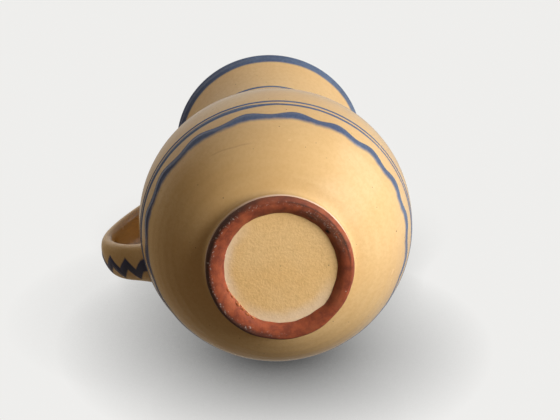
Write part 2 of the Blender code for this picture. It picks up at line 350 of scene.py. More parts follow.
class Tree:
    """Short calls for building a material's node tree."""

    def __init__(self, name):
        self.mat = bpy.data.materials.new(name)
        self.mat.use_nodes = True
        self.tree = self.mat.node_tree
        self.shader = self.tree.nodes["Principled BSDF"]

    def node(self, kind, **settings):
        made = self.tree.nodes.new(kind)
        for key, value in settings.items():
            setattr(made, key, value)
        return made

    def put(self, socket, value):
        if isinstance(value, bpy.types.NodeSocket):
            self.tree.links.new(value, socket)
        elif isinstance(value, tuple) and len(value) == 3 and socket.type == "RGBA":
            socket.default_value = (*value, 1.0)
        else:
            socket.default_value = value

    def math(self, operation, *values):
        made = self.node("ShaderNodeMath", operation=operation)
        for socket, value in zip(made.inputs, values):
            self.put(socket, value)
        return made.outputs[0]

    def add(self, a, b):
        return self.math("ADD", a, b)

    def sub(self, a, b):
        return self.math("SUBTRACT", a, b)

    def mul(self, a, b):
        return self.math("MULTIPLY", a, b)

    def smooth(self, value, low, high):
        """0 at low and 1 at high, with soft ends; low may be the larger."""
        made = self.node("ShaderNodeMapRange", interpolation_type="SMOOTHSTEP", clamp=True)
        for key, part in (("Value", value), ("From Min", low), ("From Max", high)):
            self.put(made.inputs[key], part)
        return made.outputs["Result"]

    def mix(self, factor, a, b):
        made = self.node("ShaderNodeMix", data_type="RGBA", blend_type="MIX")
        for index, part in ((0, factor), (6, a), (7, b)):
            self.put(made.inputs[index], part)
        return made.outputs[2]

    def noise(self, scale, detail=3.0, vector=None, roughness=0.5):
        made = self.node("ShaderNodeTexNoise")
        self.put(made.inputs["Scale"], scale)
        self.put(made.inputs["Detail"], detail)
        self.put(made.inputs["Roughness"], roughness)
        self.put(made.inputs["Vector"], vector or self.place())
        return made.outputs["Fac"]

    def cells(self, scale, feature, vector=None):
        made = self.node("ShaderNodeTexVoronoi", feature=feature)
        self.put(made.inputs["Scale"], scale)
        self.put(made.inputs["Vector"], vector or self.place())
        return made

    def place(self):
        """Position in the part's frame, in metres."""
        if not hasattr(self, "_place"):
            self._place = self.node("ShaderNodeTexCoord").outputs["Object"]
        return self._place

    def axes(self):
        """(distance from the jug's axis, angle round it, level)."""
        if not hasattr(self, "_axes"):
            split = self.node("ShaderNodeSeparateXYZ")
            self.put(split.inputs[0], self.place())
            x = self.sub(split.outputs[0], AXIS_X)
            y, z = split.outputs[1], split.outputs[2]
            reach = self.math("SQRT", self.add(self.mul(x, x), self.mul(y, y)))
            self._axes = reach, self.math("ARCTAN2", y, x), z
        return self._axes

    def turned(self, across, along):
        """Coordinates for marks that run round the axis, as a wheel leaves them."""
        reach, _, level = self.axes()
        split = self.node("ShaderNodeSeparateXYZ")
        self.put(split.inputs[0], self.place())
        made = self.node("ShaderNodeCombineXYZ")
        self.put(made.inputs[0], self.mul(split.outputs[0], along))
        self.put(made.inputs[1], self.mul(split.outputs[1], along))
        self.put(made.inputs[2], self.mul(self.sub(reach, level), across))
        return made.outputs[0]

    def stretched(self, sx, sy, sz):
        made = self.node("ShaderNodeMapping")
        self.put(made.inputs["Vector"], self.place())
        made.inputs["Scale"].default_value = (sx, sy, sz)
        return made.outputs[0]

    def specks(self, scale, size, share):
        """Round dots on a share of the cells of a grain."""
        dots = self.cells(scale, "F1")
        pick = self.node("ShaderNodeSeparateColor")
        self.put(pick.inputs[0], dots.outputs["Color"])
        chosen = self.math("LESS_THAN", pick.outputs[0], share)
        reach = self.mul(size, self.add(0.4, pick.outputs[1]))
        dot = self.smooth(dots.outputs["Distance"], reach, self.mul(reach, 0.45))
        return self.mul(dot, chosen)

    def bump(self, height, strength, distance):
        made = self.node("ShaderNodeBump")
        made.inputs["Strength"].default_value = strength
        made.inputs["Distance"].default_value = distance
        self.put(made.inputs["Height"], height)
        self.put(self.shader.inputs["Normal"], made.outputs[0])


def line_mask(t, level, middle, half, soft):
    """Mask of a line round the jug of a given half width."""
    away = t.math("ABSOLUTE", t.sub(level, middle))
    return t.smooth(away, t.add(half, soft), t.sub(half, soft))


def body_paint(t):
    """The slip on the body as (mask of its lines, depth of its blue, mask of painted shade, here
    none).
    """
    _, angle, level = t.axes()
    shake = t.mul(t.sub(t.noise(60.0, 2.0), 0.5), 0.0007)
    level = t.add(level, shake)

    upper = line_mask(t, level, UPPER_LINE_LEVEL, THIN_LINE / 2, SLIP_EDGE)
    neck = line_mask(t, level, NECK_LINE_LEVEL, THIN_LINE / 2, SLIP_EDGE)

    heavy = t.math("MAXIMUM", t.smooth(angle, math.radians(-70), math.radians(-92)),
                   t.smooth(angle, math.radians(110), math.radians(175)))
    half = t.add(THIN_LINE / 2, t.mul(heavy, (THICK_LINE - THIN_LINE) / 2))
    lower = line_mask(t, level, LOWER_LINE_LEVEL, half, SLIP_EDGE)
    lines = t.math("MAXIMUM", neck, t.math("MAXIMUM", upper, lower))

    drift = t.mul(t.math("COSINE", t.add(t.mul(angle, 2.0), WAVE_DRIFT_START)), WAVE_DRIFT)
    phase = t.mul(t.sub(t.sub(angle, WAVE_START), drift), float(WAVE_COUNT))
    swing = t.mul(t.math("COSINE", phase), WAVE_HEIGHT / 2)
    lean = t.mul(t.math("COSINE", t.sub(angle, WAVE_LEAN_START)), WAVE_LEAN)
    rise = t.sub(level, t.add(WAVE_LEVEL, lean))
    streak = t.mul(t.noise(1.0, 2.0, t.stretched(260.0, 260.0, 60.0)), BLEED)
    around_front = t.math("COSINE", angle)
    half = t.add(WAVE_WIDTH / 2, t.mul(t.sub(1.0, around_front), WAVE_SWELL / 4))
    top = t.smooth(t.sub(rise, swing), t.add(half, SLIP_EDGE), t.sub(half, 0.0004))
    follow = t.add(WAVE_BASE, t.mul(t.math("MAXIMUM", around_front, 0.0), WAVE_BASE_RISE))
    depth = t.add(t.add(t.sub(rise, t.mul(swing, follow)), streak), half)
    bottom = t.smooth(depth, -0.0006, 0.0022)
    wave = t.mul(top, bottom)

    foot = t.sub(level, t.mul(around_front, BAND_LEAN))
    band = t.smooth(foot, RIM_BAND_LEVEL - 0.0008, RIM_BAND_LEVEL + 0.0006)

    paint = t.math("MAXIMUM", lines, t.math("MAXIMUM", wave, band))
    outside = t.node("ShaderNodeAttribute", attribute_name="skin").outputs["Fac"]
    # The blue grows darker round towards the handle's side.
    darker_towards_handle = t.mul(t.sub(1.0, around_front), 0.28)
    core = t.mul(t.mul(wave, t.smooth(depth, 0.0008, 0.0030)), 0.25)
    deep = t.add(t.math("MAXIMUM", t.mul(lines, 0.20), darker_towards_handle), core)
    return t.mul(paint, outside), deep, 0.0


def strap_paint(t):
    """The slip on the strap as (mask of the zigzag, depth of its blue, mask of painted shade on the
    loop's inner face).
    """
    along = t.node("ShaderNodeAttribute", attribute_name="along").outputs["Fac"]
    across = t.node("ShaderNodeAttribute", attribute_name="across").outputs["Fac"]
    back = t.node("ShaderNodeAttribute", attribute_name="back").outputs["Fac"]
    swing = t.math("PINGPONG", t.add(along, ZIGZAG_START), ZIGZAG_PITCH / 2)
    swing = t.mul(t.sub(t.mul(swing, 2 / ZIGZAG_PITCH), 0.5), ZIGZAG_HEIGHT)
    shake = t.mul(t.sub(t.noise(180.0, 2.0), 0.5), 0.0014)
    away = t.math("ABSOLUTE", t.add(t.sub(across, t.add(swing, ZIGZAG_SIDE)), shake))
    line = t.smooth(away, ZIGZAG_WIDTH / 2 + 0.0008, ZIGZAG_WIDTH / 2 - 0.0006)
    # The third value is painted shade: the inner face of the loop, which faces the body, is
    # darkened.
    return t.mul(line, t.smooth(back, 0.2, 0.4)), 1.0, t.mul(t.smooth(back, 0.1, -0.8), 0.9)


# Materials

HONEY = (0.74, 0.470, 0.200)
HONEY_DEEP = (0.62, 0.365, 0.130)
HONEY_PALE = (0.78, 0.535, 0.255)
# Colour of the painted shade on the inner face of the handle's loop.
HONEY_PAINTED_SHADE = (0.30, 0.175, 0.065)
GLAZE_EDGE = (0.80, 0.60, 0.47)
BLUE = (0.048, 0.090, 0.185)
BLUE_PALE = (0.080, 0.140, 0.255)
BLUE_DEEP = (0.010, 0.030, 0.125)
IRON = (0.16, 0.075, 0.025)
HAIR = (0.38, 0.17, 0.06)


def glaze(name, paint):
    """Glossy honey glaze with iron specks and fine crazing, over blue slip, with painted shade where
    the paint asks for it.
    """
    t = Tree(name)
    _, angle, level = t.axes()
    cloud = t.smooth(t.noise(22.0, 4.0), 0.32, 0.68)
    colour = t.mix(cloud, HONEY, HONEY_PALE)
    pooled = t.mul(t.smooth(t.noise(9.0, 2.0), 0.45, 0.75), 0.55)
    colour = t.mix(pooled, colour, HONEY_DEEP)
    rings = t.mul(t.math("SINE", t.mul(level, math.tau / WHEEL_PITCH)), 0.5)
    near_foot = t.smooth(level, 0.040, 0.012)
    colour = t.mix(t.mul(t.mul(t.add(rings, 0.5), near_foot), 0.12), colour, HONEY_DEEP)
    cracks = t.cells(420.0, "DISTANCE_TO_EDGE").outputs["Distance"]
    colour = t.mix(t.mul(t.smooth(cracks, 0.035, 0.0), 0.10), colour, HONEY_DEEP)
    mottle = t.smooth(t.noise(560.0, 3.0, roughness=0.65), 0.40, 0.64)
    colour = t.mix(t.mul(mottle, 0.26), colour, HONEY_DEEP)
    wander = t.mul(t.sub(t.noise(120.0, 2.0), 0.5), 0.0010)
    course = t.add(HAIR_LEVEL, t.mul(angle, HAIR_RISE))
    away = t.math("ABSOLUTE", t.sub(t.add(level, wander), course))
    along = t.mul(t.smooth(angle, HAIR_START, HAIR_START + 0.06),
                  t.smooth(angle, HAIR_END, HAIR_END - 0.10))
    hair = t.mul(t.smooth(away, 0.00065, 0.0001), along)
    colour = t.mix(t.mul(hair, 0.26), colour, HAIR)
    dots = t.math("MAXIMUM", t.specks(210.0, 0.10, 0.16), t.specks(520.0, 0.16, 0.05))
    colour = t.mix(t.mul(dots, 0.75), colour, IRON)
    ragged = t.add(level, t.mul(t.sub(t.noise(140.0), 0.5), 0.0008))
    edge = t.smooth(ragged, GLAZE_END + 0.0022, GLAZE_END + 0.0006)
    slip, deep, thick = paint(t)
    # Painted shade: the glaze is darkened towards brown on the mask that the paint gives as its
    # third value.
    colour = t.mix(thick, colour, HONEY_PAINTED_SHADE)
    patchy = t.add(t.noise(45.0, 3.0), t.mul(t.sub(t.noise(650.0, 3.0), 0.5), 0.8))
    shade = t.mix(t.smooth(patchy, 0.35, 0.70), BLUE, BLUE_PALE)
    colour = t.mix(t.mul(slip, 0.98), colour, t.mix(deep, shade, BLUE_DEEP))
    colour = t.mix(t.mul(edge, 0.8), colour, GLAZE_EDGE)
    t.put(t.shader.inputs["Base Color"], colour)
    t.put(t.shader.inputs["Roughness"], t.add(0.17, t.mul(t.noise(90.0, 2.0), 0.14)))
    t.shader.inputs["IOR"].default_value = 1.5
    t.shader.inputs["Coat Weight"].default_value = 0.35
    t.shader.inputs["Coat Roughness"].default_value = 0.08
    relief = t.add(t.mul(t.noise(620.0, 2.0), 0.6), t.mul(rings, t.mul(near_foot, 0.35)))
    t.bump(relief, 0.50, 0.00020)
    return t.mat


TERRACOTTA = (0.40, 0.098, 0.043)
TERRACOTTA_DARK = (0.20, 0.050, 0.028)
TERRACOTTA_LIGHT = (0.50, 0.150, 0.065)
# Dark of soot, also used as painted shade on the ring's outer edge.
SOOT_AND_SHADE = (0.050, 0.034, 0.030)
PITCH = (0.010, 0.004, 0.004)
ASH = (0.070, 0.050, 0.038)
CHALK = (0.62, 0.52, 0.46)


def photo_angle(degrees):
    """Angle round the jug's axis of a direction in the photograph, counted up from its right."""
    turn = ROLL - math.radians(degrees)
    return math.atan2(math.sin(turn), math.cos(turn))


def sector(t, start, end, soft=10.0):
    """Mask of the stretch of the foot between two of the photograph's angles."""
    middle, half = photo_angle((start + end) / 2), math.radians(abs(end - start) / 2)
    _, angle, _ = t.axes()
    away = t.math("ARCCOSINE", t.math("COSINE", t.sub(angle, middle)))
    return t.smooth(away, half + math.radians(soft), half - math.radians(soft))


def bare_clay():
    """Worn red clay with a sooty outer edge, darkened further as painted shade round the side away
    from the key light, a grey stain and chalky scuffs.
    """
    t = Tree("bare_clay")
    reach, angle, _ = t.axes()
    grain = t.noise(260.0, 5.0, roughness=0.65)
    colour = t.mix(t.smooth(grain, 0.30, 0.72), TERRACOTTA_DARK, TERRACOTTA)
    colour = t.mix(t.mul(t.smooth(t.noise(70.0, 3.0), 0.5, 0.75), 0.7), colour, TERRACOTTA_LIGHT)
    streaks = t.noise(1.0, 3.0, t.turned(1500.0, 110.0))
    colour = t.mix(t.mul(t.smooth(streaks, 0.52, 0.72), 0.45), colour, TERRACOTTA_DARK)
    ragged = t.mul(t.sub(t.noise(170.0, 4.0), 0.5), 0.0030)
    # Soot and painted shade: the outer edge is darkened, most round the side turned from the key
    # light.
    outer = t.smooth(t.add(reach, ragged), SOOT_SHADE_INNER, SOOT_SHADE_OUTER)
    sooty_shaded_side = t.math("MAXIMUM", sector(t, 110, 265, 25.0), t.mul(sector(t, 60, 110, 15.0), 0.45))
    colour = t.mix(t.mul(t.mul(outer, sooty_shaded_side), 0.80), colour, SOOT_AND_SHADE)
    slant = (STAIN_OUTER - STAIN_INNER) / (photo_angle(STAIN_END) - photo_angle(STAIN_START))
    middle = t.add(STAIN_INNER, t.mul(t.sub(angle, photo_angle(STAIN_START)), slant))
    crest = t.math("ABSOLUTE", t.sub(t.add(reach, ragged), middle))
    stain = t.mul(t.smooth(crest, 0.0026, 0.0006), sector(t, STAIN_END, STAIN_START, 7.0))
    stain = t.mul(stain, t.smooth(t.noise(1.0, 3.0, t.turned(1300.0, 190.0), 0.65), 0.36, 0.52))
    colour = t.mix(t.mul(stain, 0.66), colour, ASH)
    beside = t.math("ABSOLUTE", t.sub(t.add(reach, ragged), SPOT_RADIUS))
    spot = t.mul(sector(t, SPOT_START, SPOT_END, 2.0), t.smooth(beside, 0.0012, 0.0005))
    colour = t.mix(spot, colour, PITCH)
    groove = t.smooth(t.math("ABSOLUTE", t.sub(reach, GROOVE_RADIUS)), 0.0005, 0.0001)
    colour = t.mix(t.mul(t.mul(groove, sector(t, 5, 85, 12.0)), 0.6), colour, SOOT_AND_SHADE)
    scuffed = t.math("ABSOLUTE", t.sub(t.add(reach, ragged), SCUFF_RADIUS))
    worn = t.smooth(scuffed, 0.0016, 0.0003)
    grit = t.smooth(t.noise(900.0, 3.0, roughness=0.6), 0.57, 0.66)
    scuffs = t.mul(t.math("MAXIMUM", t.mul(worn, sooty_shaded_side), stain), grit)
    chalk = t.math("MAXIMUM", t.specks(480.0, 0.22, 0.04), scuffs)
    colour = t.mix(t.mul(chalk, 0.70), colour, CHALK)
    t.put(t.shader.inputs["Base Color"], colour)
    t.put(t.shader.inputs["Roughness"], t.add(0.48, t.mul(grain, 0.25)))
    t.bump(t.add(grain, t.mul(t.noise(1400.0, 2.0), 0.5)), 0.55, 0.00025)
    return t.mat


# The floor's glaze colours are paler than the body's honey: thinner glaze, and painted light that
# makes up for the sunk floor getting less light.
FLOOR_HONEY_THIN_AND_LIT = (0.91, 0.580, 0.240)
FLOOR_PALE_THIN_AND_LIT = (0.93, 0.625, 0.29)
# Pale edge colour of the floor: thin glaze and painted highlight.
FLOOR_EDGE_THIN_AND_HIGHLIT = (0.90, 0.72, 0.54)


def floor_glaze():
    """The crazed glaze of the sunk floor, brushed on in curved strokes and thin at its edge; its
    colours are paler than the body's as thin glaze and painted light, and its edge is paler on two
    sides as a painted highlight.
    """
    t = Tree("floor_glaze")
    reach, _, _ = t.axes()
    sweep = t.noise(1.0, 4.0, t.stretched(260.0, 620.0, 100.0), 0.6)
    cloud = t.smooth(t.noise(38.0, 4.0), 0.3, 0.7)
    colour = t.mix(cloud, FLOOR_HONEY_THIN_AND_LIT, FLOOR_PALE_THIN_AND_LIT)
    colour = t.mix(t.mul(t.smooth(sweep, 0.45, 0.7), 0.20), colour, HONEY_DEEP)
    mottle = t.smooth(t.noise(1.0, 3.0, t.stretched(1500.0, 800.0, 400.0), 0.7), 0.42, 0.70)
    colour = t.mix(t.mul(mottle, 0.16), colour, HONEY_DEEP)
    cracks = t.cells(560.0, "DISTANCE_TO_EDGE").outputs["Distance"]
    colour = t.mix(t.mul(t.smooth(cracks, 0.06, 0.0), 0.22), colour, HONEY_DEEP)
    # Thin glaze and painted highlight: the edge is paler on two sectors, where its rise to the ring
    # catches the light.
    ragged = t.mul(t.sub(t.noise(120.0, 3.0), 0.5), 0.004)
    thin = t.smooth(t.add(reach, ragged), THIN_AND_HIGHLIT_IN, THIN_AND_HIGHLIT_OUT)
    pale = t.math("MAXIMUM", sector(t, 140, 215, 25.0), t.mul(sector(t, 235, 335, 25.0), 0.8))
    colour = t.mix(t.mul(t.mul(thin, pale), 0.75), colour, FLOOR_EDGE_THIN_AND_HIGHLIT)
    dots = t.specks(330.0, 0.10, 0.05)
    colour = t.mix(t.mul(dots, 0.7), colour, IRON)
    t.put(t.shader.inputs["Base Color"], colour)
    t.put(t.shader.inputs["Roughness"], t.add(0.26, t.mul(sweep, 0.16)))
    t.shader.inputs["Coat Weight"].default_value = 0.2
    t.shader.inputs["Coat Roughness"].default_value = 0.12
    t.bump(t.add(sweep, t.mul(t.noise(900.0, 2.0), 0.8)), 0.70, 0.00026)
    return t.mat


BEAD_DARK = (0.42, 0.12, 0.045)
BEAD_LIGHT = (0.60, 0.24, 0.10)


def bead_glaze():
    """Drops of clear glaze over the red clay."""
    t = Tree("bead_glaze")
    colour = t.mix(t.smooth(t.noise(500.0, 2.0), 0.35, 0.65), BEAD_DARK, BEAD_LIGHT)
    t.put(t.shader.inputs["Base Color"], colour)
    t.shader.inputs["Roughness"].default_value = 0.16
    return t.mat


# Body

def skirt(start):
    """The glaze that runs on from the belly down the ring's outside, its rounded edge first."""
    wall = FOOT_RADIUS - SKIRT_INSET
    corner = (wall + SKIRT_CORNER[0], FOOT_HEIGHT + SKIRT_CORNER[1])
    edge = [(wall + out, GLAZE_END + up) for out, up in SKIRT_EDGE]
    return edge + bezier((wall, GLAZE_END + SKIRT_FOOT), corner, corner, start, 18)


def wall_piece(name, outside, inside, mat, node):
    """A closed stretch of the wall: its outside going up, then its inside going down."""
    rows = [[foot_point(hand_thrown(r, z, a), z, a) for a in turns()] for r, z in outside + inside]
    skin = [1.0] * (len(outside) * SEGMENTS) + [0.0] * (len(inside) * SEGMENTS)
    return finish_piece(grid_object(name, rows, True, {"skin": skin}), mat, "honey_glaze", node)


def belly_piece(mat):
    arc = [(r, z) for r, z in outer_belly() if z > FOOT_HEIGHT + SKIRT_HEIGHT]
    return wall_piece("belly", skirt(arc[0]) + arc[1:], inner_belly()[::-1], mat, "belly_wall")


def neck_piece(mat):
    levels = between(NECK_FOOT_LEVEL, RIM_FOOT_LEVEL, 44)
    outside = [(at_level(z), z) for z in levels]
    inside = [(r - NECK_WALL, z) for r, z in outside[::-1]]
    return wall_piece("neck", outside, inside, mat, "neck_collar")


def rim_piece(mat):
    half = NECK_WALL / 2
    crown = RIM_LEVEL - half
    middle = at_level(crown) - half
    outside = [(at_level(z), z) for z in between(RIM_FOOT_LEVEL, crown, 12)]
    over = between(0.0, math.pi, 17)
    lip = [(middle + half * math.cos(t), crown + half * math.sin(t)) for t in over]
    inside = [(r - NECK_WALL, z) for r, z in outside[::-1]]
    return wall_piece("rim", outside + lip[1:12], lip[12:] + inside[1:], mat, "rim_roll")


def wave_swing(angle):
    drift = WAVE_DRIFT * math.cos(2 * angle + WAVE_DRIFT_START)
    lean = WAVE_LEAN * math.cos(angle - WAVE_LEAN_START)
    return lean + WAVE_HEIGHT / 2 * math.cos(WAVE_COUNT * (angle - WAVE_START - drift))


def slip_trail(name, node, level, width, mat, swing=None):
    """A thin raised skin of slip round the jug, with its edges just under the glaze."""
    angles = [math.tau * i / (3 * SEGMENTS) for i in range(3 * SEGMENTS)]
    shares = between(0.0, 1.0, 9)
    lifts = [(share, SLIP_SEAT + SLIP * math.sin(math.pi * share) ** 2) for share in shares]
    rows = []
    for share, proud in lifts + [(1.0, SLIP_ROOT), (0.0, SLIP_ROOT)]:
        row = []
        for angle in angles:
            z = level + (share - 0.5) * width + (swing(angle) if swing else 0.0)
            row.append(around(hand_thrown(at_level(z), z, angle) + proud, z, angle))
        rows.append(row)
    skin = [1.0] * (len(rows) * len(angles))
    return finish_piece(grid_object(name, rows, True, {"skin": skin}), mat, "blue_slip", node)


def body(mat):
    belly_piece(mat)
    neck_piece(mat)
    rim_piece(mat)
    slip_trail("slip_rim_band", "rim_band", RIM_BAND_LEVEL + RIM_TRAIL_RISE, RIM_TRAIL_WIDTH, mat)
    thin, lower = THIN_SPREAD * THIN_LINE, LOWER_SPREAD * THIN_LINE
    slip_trail("slip_neck_line", "neck_line", NECK_LINE_LEVEL, thin, mat)
    slip_trail("slip_belly_line_upper", "belly_line_upper", UPPER_LINE_LEVEL, thin, mat)
    slip_trail("slip_belly_line_lower", "belly_line_lower", LOWER_LINE_LEVEL, lower, mat)
    slip_trail("slip_wave", "wave_line", WAVE_LEVEL, WAVE_SPREAD * WAVE_WIDTH, mat, wave_swing)


# Foot

def foot_point(radius, level, angle):
    """A point of the foot, which is slightly oval and sits a little off the jug's axis."""
    share = max(0.0, 1 - level / FOOT_HEIGHT)
    oval = 1 + share * RING_OVAL * (1 - math.cos(2 * (ROLL - angle)))
    return Vector(around(radius * oval, level, angle)) + share * RING_SHIFT


def bump_at(angle, degrees, width):
    """A smooth hump at one of the photograph's angles."""
    away = math.remainder(ROLL - angle - math.radians(degrees), math.tau)
    return math.exp(-(away / math.radians(width)) ** 2)


def bore_edge(angle):
    """Radius of the ragged line where the floor's glaze stops against the bare ring."""
    turn = ROLL - angle
    ragged = RAGGED_WIDE * math.sin(9 * turn + 1.0) + RAGGED_FINE * math.sin(23 * turn)
    flats = sum(depth * bump_at(angle, degrees, width) for degrees, width, depth in FLATS)
    return GLAZE_RADIUS - flats + ragged


def foot_piece(mat):
    """The turned ring, rounded by wear: down to its land, then up inside to the floor's glaze."""
    swell = FOOT_RADIUS - RING_INSET - LAND_OUT
    outer = [(FOOT_RADIUS + out, GLAZE_END + up) for out, up in RING_ROOT]
    for t in between(0.0, math.pi / 2, 14):
        outer.append((LAND_OUT + swell * math.cos(t), RING_ROUND * (1 - math.sin(t))))
    rows = [[foot_point(r + ring_wear(a, z), z, a) for a in turns()] for r, z in outer]
    for share in between(0.0, 1.0, 16):
        level = GLAZE_STOP * share ** SLOPE_POWER
        radii = [(LAND_IN - (LAND_IN - bore_edge(a)) * share, a) for a in turns()]
        rows.append([foot_point(r, level, a) for r, a in radii])
    lap = GLAZE_STOP + GLAZE_LAP_UP
    rows.append([foot_point(bore_edge(a) + GLAZE_LAP_OUT, lap, a) for a in turns()])
    return finish_piece(grid_object("foot", rows, True), mat, "terracotta", "foot_ring")


def ring_wear(angle, level):
    """Chips and flats on the ring's outer side."""
    turn = ROLL - angle
    wear = WEAR_WIDE * math.sin(5 * turn + 0.4) + WEAR_FINE * math.sin(13 * turn + 2.0) - WEAR_ALL
    chip = CHIP_DEPTH * bump_at(angle, CHIP_DEGREES, CHIP_SPREAD)
    return min(0.0, wear - chip) * (1 - level / (1.2 * FOOT_HEIGHT))


def floor_piece(mat):
    """The sunk floor, nearly flat, curving up to the ring where its glaze stops."""
    rows = []
    for share in between(0.0, 1.0, 40):
        row = []
        for a in turns():
            edge = bore_edge(a)
            r = max(share * edge, PIN_HOLE)
            rim = max(0.0, (share - FLOOR_FLAT) / (1 - FLOOR_FLAT))
            lift = (FLOOR_LEVEL - GLAZE_STOP) * (1 - math.sqrt(max(0.0, 1 - rim ** 2)))
            dome = FLOOR_DOME * (1 - share ** 2)
            row.append(foot_point(r, FLOOR_LEVEL - lift - dome, a))
        rows.append(row)
    for r in (FOOT_BORE, 0.5 * FOOT_BORE, PIN_HOLE):
        rows.append([around(r, FLOOR_TOP, a) for a in turns()])
    return finish_piece(grid_object("floor", rows), mat, "floor_glaze", "base_disc")


def bead_piece(mat):
    """Drops of glaze that ran down inside the ring and set on its slope."""
    shape = bmesh.new()
    for degrees, size in DROPS:
        angle = photo_angle(degrees)
        spot = foot_point(bore_edge(angle) + 0.7 * size, 0.85 * GLAZE_STOP - 0.3 * size, angle)
        spread = Matrix.Diagonal((0.8 * size, 1.6 * size, 0.6 * size, 1.0))
        place = Matrix.Translation(spot) @ Matrix.Rotation(angle, 4, "Z") @ spread
        bmesh.ops.create_icosphere(shape, subdivisions=3, radius=1.0, matrix=place)
    mesh = bpy.data.meshes.new("glaze_drops")
    shape.to_mesh(mesh)
    shape.free()
    return finish_piece(link_mesh("glaze_drops", mesh), mat, "terracotta")


# Handle

def strap_path(count):
    """Middle line of the strap as (distance from the axis, level, travel), evenly spaced."""
    top = at_level(STRAP_TOP_LEVEL) - STRAP_BURY
    foot = at_level(STRAP_FOOT_LEVEL) - STRAP_BURY
    tip = (STRAP_TIP_REACH, STRAP_TIP_LEVEL)
    leave = (top + STRAP_TOP_OUT, STRAP_TOP_LEVEL - STRAP_TOP_DOWN)
    above = (STRAP_TIP_REACH, STRAP_TIP_LEVEL + STRAP_TIP_ABOVE)
    below = (STRAP_TIP_REACH, STRAP_TIP_LEVEL - STRAP_TIP_BELOW)
    arrive = (foot + STRAP_FOOT_OUT, STRAP_FOOT_LEVEL + STRAP_FOOT_UP)
    upper = bezier((top, STRAP_TOP_LEVEL), leave, above, tip, 80)
    lower = bezier(tip, below, arrive, (foot, STRAP_FOOT_LEVEL), 60)
    fine = upper + lower[1:]
    travel = [0.0]
    for a, b in zip(fine, fine[1:]):
        travel.append(travel[-1] + math.dist(a, b))
    path, index = [], 0
    for distance in between(0.0, travel[-1], count):
        while index < len(travel) - 2 and travel[index + 1] < distance:
            index += 1
        share = (distance - travel[index]) / (travel[index + 1] - travel[index])
        a, b = fine[index], fine[index + 1]
        path.append((a[0] + (b[0] - a[0]) * share, a[1] + (b[1] - a[1]) * share, distance))
    return path


def strap_frames(count):
    """(distance from the axis, level, run, rise, travel, flare) along the strap."""
    path = strap_path(count)
    length = path[-1][2]
    frames = []
    for i, (r, z, travel) in enumerate(path):
        a, b = path[max(i - 1, 0)], path[min(i + 1, count - 1)]
        run, rise = b[0] - a[0], b[1] - a[1]
        size = math.hypot(run, rise)
        end = min(travel, length - travel)
        flare = max(0.0, 1 - end / STRAP_FLARE_RUN) ** 2
        frames.append((r, z, run / size, rise / size, travel, flare))
    return frames


def section(count):
    """Rounded cross section of the strap as (across, through) shares."""
    power = 2 / STRAP_ROUND
    points = []
    for i in range(count):
        a = math.tau * i / count
        points.append((math.copysign(abs(math.cos(a)) ** power, math.cos(a)),
                       math.copysign(abs(math.sin(a)) ** power, math.sin(a))))
    return points


def to_body(station, across, through):
    """Where a lengthwise line of the strap dips under the glaze of the body."""
    r, z, run, rise = station[:4]
    r, z = r - rise * through, z + run * through
    sign = 1 if z < NECK_FOOT_LEVEL else -1
    step = STRAP_DIP_STEP * sign
    for i in range(-STRAP_DIP_BACK, STRAP_DIP_ON):
        spot_r, spot_z = r + run * step * i, z + rise * step * i
        if math.hypot(spot_r, across) < at_level(spot_z) - STRAP_DIP:
            return (AXIS_X - spot_r, across, spot_z)
    return (AXIS_X - r, across, z)


def strap_point(station, across, through):
    """A point of the strap: across its width and through its thickness, outwards positive."""
    r, z, run, rise = station[:4]
    r, z = r - rise * through, z + run * through
    return (AXIS_X - r, across, z)


def strap_piece(mat):
    rows, along, across, back = [], [], [], []
    stations = strap_frames(110)
    for station in stations:
        flare = station[5]
        half_wide = STRAP_WIDTH / 2 * (1 + STRAP_FLARE_WIDE * flare)
        half_thick = STRAP_THICKNESS / 2 * (1 + STRAP_FLARE_THICK * flare)
        place = to_body if station in (stations[0], stations[-1]) else strap_point
        row = []
        for wide, thick in section(56):
            row.append(place(station, wide * half_wide, thick * half_thick))
            along.append(station[4])
            across.append(wide * half_wide)
            back.append(thick)
        rows.append(row)
    marks = {"along": along, "across": across, "back": back}
    handle = grid_object("handle", rows, False, marks)
    return finish_piece(handle, mat, "honey_glaze", "handle_strap")


def zigzag_piece(mat):
    """The raised slip of the zigzag, on the back of the strap."""
    rows, along, across = [], [], []
    shares = between(-0.5, 0.5, 9)
    lifts = [(share, SLIP_SEAT + SLIP * math.cos(math.pi * share) ** 2) for share in shares]
    for station in strap_frames(ZIGZAG_STATIONS)[ZIGZAG_TRIM:-ZIGZAG_TRIM]:
        ping = abs(((station[4] + ZIGZAG_START) / (ZIGZAG_PITCH / 2)) % 2 - 1)
        swing = ZIGZAG_SIDE + ZIGZAG_HEIGHT * (0.5 - ping)
        row = []
        for share, proud in lifts + [(0.5, SLIP_ROOT), (-0.5, SLIP_ROOT)]:
            w = swing + share * ZIGZAG_SPREAD * ZIGZAG_WIDTH
            bulge = (1 - abs(2 * w / STRAP_WIDTH) ** STRAP_ROUND) ** (1 / STRAP_ROUND)
            row.append(strap_point(station, w, STRAP_THICKNESS / 2 * bulge + proud))
            along.append(station[4])
            across.append(w)
        rows.append(row)
    marks = {"along": along, "across": across, "back": [1.0] * len(along)}
    zigzag = grid_object("slip_zigzag", rows, False, marks)
    return finish_piece(zigzag, mat, "blue_slip", "handle_zigzag")


# Stage

PALE = (0.86, 0.855, 0.84, 1.0)
SOFT = (0.121, 0.092, 0.062, 1.0)
SHEEN = (0.55, 0.54, 0.52, 1.0)
PATCH_SIDES = 64
VIEWER_EDGE, VIEWER_CORE = 0.80, 0.90


